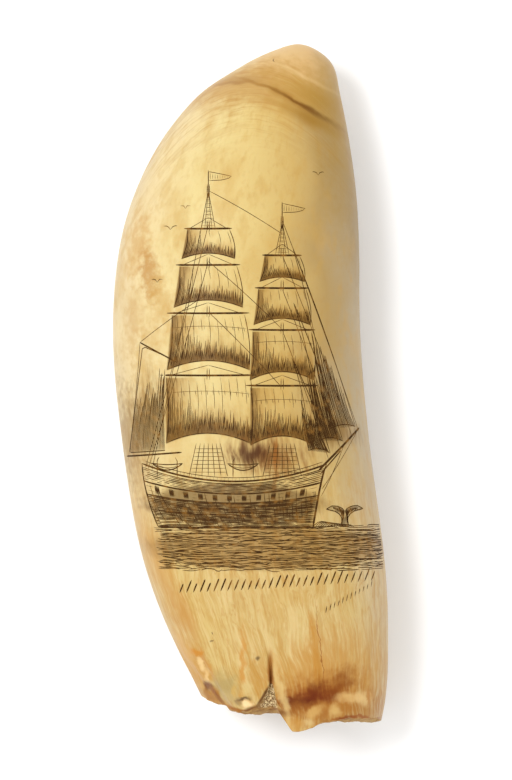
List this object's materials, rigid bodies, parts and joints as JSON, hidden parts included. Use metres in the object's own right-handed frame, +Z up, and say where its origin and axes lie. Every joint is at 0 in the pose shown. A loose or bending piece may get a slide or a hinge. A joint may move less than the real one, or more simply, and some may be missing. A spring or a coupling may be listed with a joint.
{
  "type": "scrimshaw whale tooth",
  "caption": "Curved, pointed whale tooth with a broken hollow root, its upper face engraved with a sailing ship at sea.",
  "frame": {"origin": "on the surface that the tooth lies on, under the middle of its box", "axes": "+Y runs along the tooth from the broken root to the tip, +X points to the hollow side of its curve, +Z is up, out of the engraved face"},
  "size_m": [0.0612, 0.1518, 0.0404],
  "materials": {
    "ivory": "satin"
  },
  "bodies": {
    "root": {"tooth": "ivory"}
  },
  "joints": []
}
